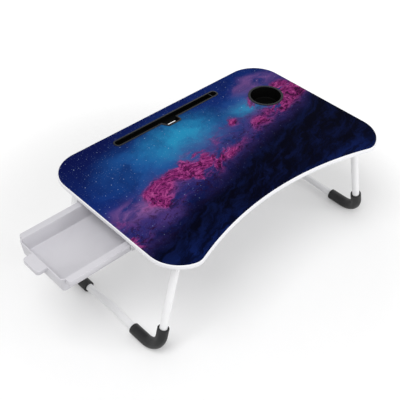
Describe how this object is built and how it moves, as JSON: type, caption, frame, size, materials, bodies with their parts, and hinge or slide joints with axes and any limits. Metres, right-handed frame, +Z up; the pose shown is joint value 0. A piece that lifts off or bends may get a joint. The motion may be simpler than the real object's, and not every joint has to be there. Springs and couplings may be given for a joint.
{
  "type": "laptop stand with drawer",
  "caption": "Low folding laptop table with a hollowed front edge, recessed cup holder, tablet slot, folding tube legs with rubber feet and a drawer that slides out sideways.",
  "frame": {"origin": "on the surface the table stands on, under the middle of the part's overall box with the drawer pulled out as at rest", "axes": "+X along the board's long side, away from the drawer; +Y towards the straight back edge with the tablet slot; +Z up"},
  "size_m": [0.7748, 0.4, 0.2614],
  "materials": {
    "printed_laminate": null,
    "fibreboard": "raw medium-density fibreboard, hidden inside the board",
    "backing_laminate": "plain off-white melamine, fine matt grain",
    "edge_band_plastic": "glossy white edge band",
    "black_plastic": "injection-moulded black plastic, fine satin grain",
    "zinc_steel": "zinc-plated steel",
    "bracket_steel": "white powder-coated pressed steel",
    "white_steel": "white powder-coated steel tube, glossy",
    "foot_rubber": "black moulded rubber, slightly worn satin",
    "drawer_plastic": "pale grey moulded plastic, satin",
    "rail_plastic": "light grey extruded plastic",
    "plug_plastic": "white moulded plastic"
  },
  "bodies": {
    "table": {"board_core": "fibreboard", "printed_top_sheet": "printed_laminate", "underside_sheet": "backing_laminate", "edge_band": "edge_band_plastic", "cup_holder": "black_plastic", "tablet_slot_insert": "black_plastic", "hinge_bracket_screws": "zinc_steel", "drawer_rail_screws": "zinc_steel", "front_drawer_rail": "rail_plastic", "back_drawer_rail": "rail_plastic", "left_front_hinge_bracket": "bracket_steel", "left_back_hinge_bracket": "bracket_steel", "right_front_hinge_bracket": "bracket_steel", "right_back_hinge_bracket": "bracket_steel", "left_front_hinge_pin": "zinc_steel", "left_back_hinge_pin": "zinc_steel", "right_front_hinge_pin": "zinc_steel", "right_back_hinge_pin": "zinc_steel"},
    "left_leg": {"left_leg_tube": "white_steel", "left_front_foot_sleeve": "foot_rubber", "left_back_foot_sleeve": "foot_rubber", "left_front_tube_plug": "plug_plastic", "left_back_tube_plug": "plug_plastic"},
    "right_leg": {"right_leg_tube": "white_steel", "right_front_foot_sleeve": "foot_rubber", "right_back_foot_sleeve": "foot_rubber", "right_front_tube_plug": "plug_plastic", "right_back_tube_plug": "plug_plastic"},
    "drawer": {"drawer_tray": "drawer_plastic"}
  },
  "joints": [
    {"name": "left_leg_fold", "type": "hinge", "parent": "table", "child": "left_leg", "pos_m": [-0.17642, 0, 0.236], "axis": [0, -1, 0], "range_deg": [0, 104]},
    {"name": "right_leg_fold", "type": "hinge", "parent": "table", "child": "right_leg", "pos_m": [0.31957, 0, 0.236], "axis": [0, 1, 0], "range_deg": [0, 104]},
    {"name": "drawer_slide", "type": "slide", "parent": "table", "child": "drawer", "axis": [1, 0, 0], "range_m": [-0.02, 0.157]}
  ]
}
